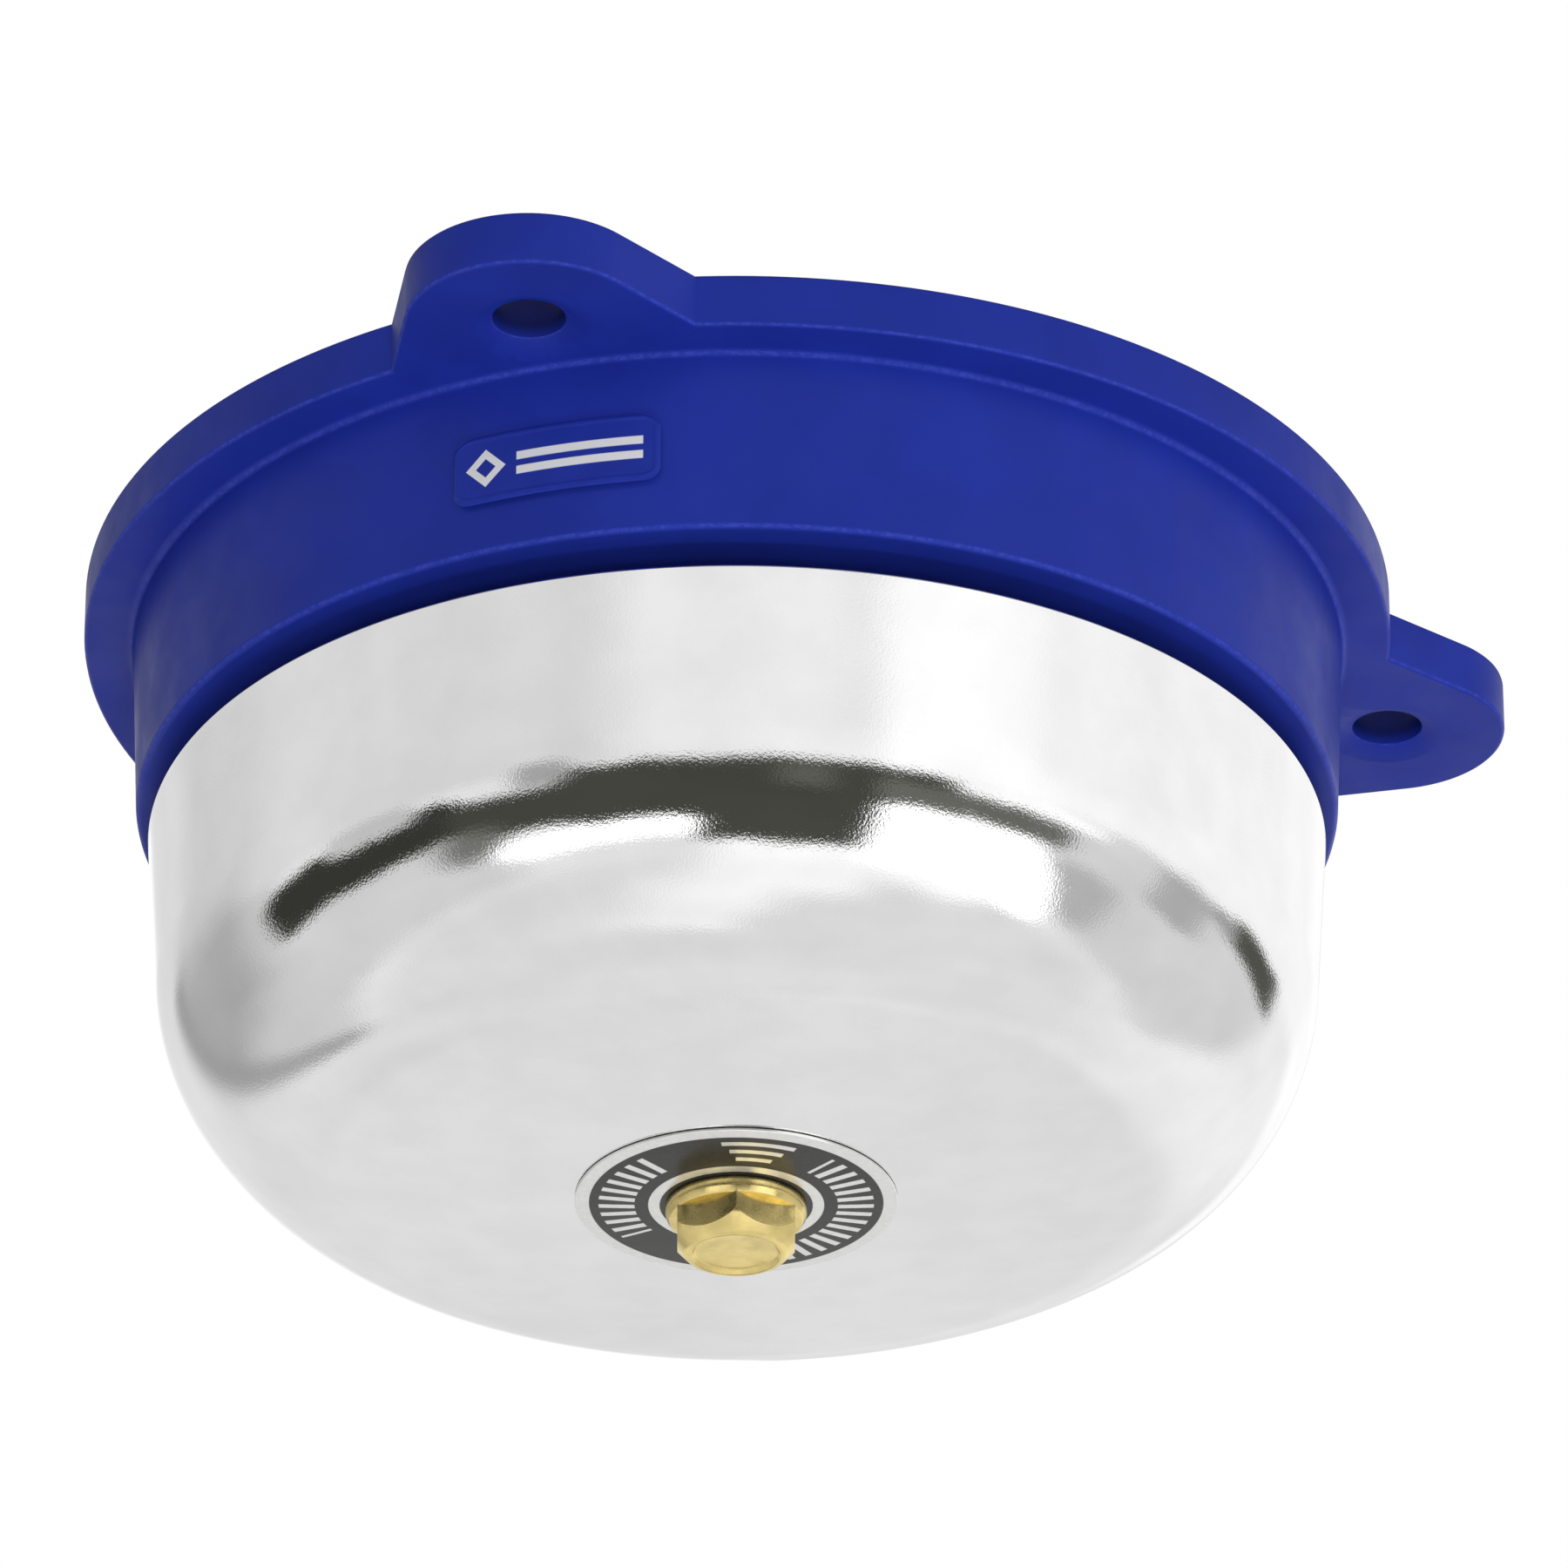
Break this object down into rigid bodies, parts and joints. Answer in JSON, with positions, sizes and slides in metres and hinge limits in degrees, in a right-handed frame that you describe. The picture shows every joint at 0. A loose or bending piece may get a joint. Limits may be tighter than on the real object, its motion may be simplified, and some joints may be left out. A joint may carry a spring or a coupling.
{
  "type": "fire alarm bell",
  "caption": "Electric alarm bell with a polished gong on a round blue base with fixing lugs, struck from inside by a sprung solenoid plunger.",
  "frame": {"origin": "centre of the mounting face, on the bell's axis", "axes": "+Z out of the back of the base, towards the ceiling or wall it hangs on, so that the gong hangs along -Z; -Y towards the side with the badge plate; the striker moves along +X"},
  "size_m": [0.1226, 0.1217, 0.0615],
  "materials": {
    "blue_plastic": "satin moulded blue plastic",
    "badge_film": "smooth film a little lighter than the moulding",
    "plated_gong": "polished and plated pressed steel",
    "label_plate": "black printed aluminium with bare silver rings",
    "brass": "bright yellow brass",
    "zinc_steel": "zinc plated steel",
    "bare_iron": "bare machined iron",
    "spring_steel": "drawn spring steel",
    "fibre_board": "black pressed insulating board",
    "red_fibre": "red vulcanised fibre",
    "black_rubber": "soft black rubber",
    "white_nylon": "natural white nylon",
    "copper_wire": "enamelled copper winding",
    "yellow_tape": "yellow polyester coil tape",
    "red_sleeve": "red sleeved lead",
    "black_sleeve": "black sleeved lead"
  },
  "bodies": {
    "base": {"base_housing": "blue_plastic", "back_cover": "fibre_board", "cover_screw_1": "zinc_steel", "cover_screw_2": "zinc_steel", "cover_screw_3": "zinc_steel", "mechanism_plate": "zinc_steel", "plate_screw_1": "zinc_steel", "plate_screw_2": "zinc_steel", "plate_screw_3": "zinc_steel", "gong_post": "zinc_steel", "post_washer": "zinc_steel", "post_nut": "zinc_steel", "gong_seat_washer": "red_fibre", "gong": "plated_gong", "gong_label": "label_plate", "gong_bolt": "brass", "solenoid_yoke": "zinc_steel", "yoke_screw_1": "zinc_steel", "yoke_screw_2": "zinc_steel", "coil_bobbin": "white_nylon", "coil_winding": "copper_wire", "coil_tape": "yellow_tape", "buffer_washer": "black_rubber", "return_spring": "spring_steel", "terminal_block": "white_nylon", "terminal_block_screw": "zinc_steel", "terminal_barrel_1": "brass", "terminal_barrel_2": "brass", "terminal_screw_1": "zinc_steel", "terminal_screw_2": "zinc_steel", "terminal_screw_3": "zinc_steel", "terminal_screw_4": "zinc_steel", "coil_lead_1": "red_sleeve", "coil_lead_2": "black_sleeve", "cable_grommet": "black_rubber", "side_badge": "badge_film"},
    "striker": {"plunger": "bare_iron", "striker_rod": "brass", "striker_head": "bare_iron", "striker_clip": "spring_steel", "spring_retainer": "zinc_steel"}
  },
  "joints": [
    {"name": "striker_slide", "type": "slide", "parent": "base", "child": "striker", "axis": [1, 0, 0], "range_m": [0, 0.0035], "stiffness_N_per_m": 80, "springref_m": -0.003, "deforming": ["return_spring"]}
  ]
}
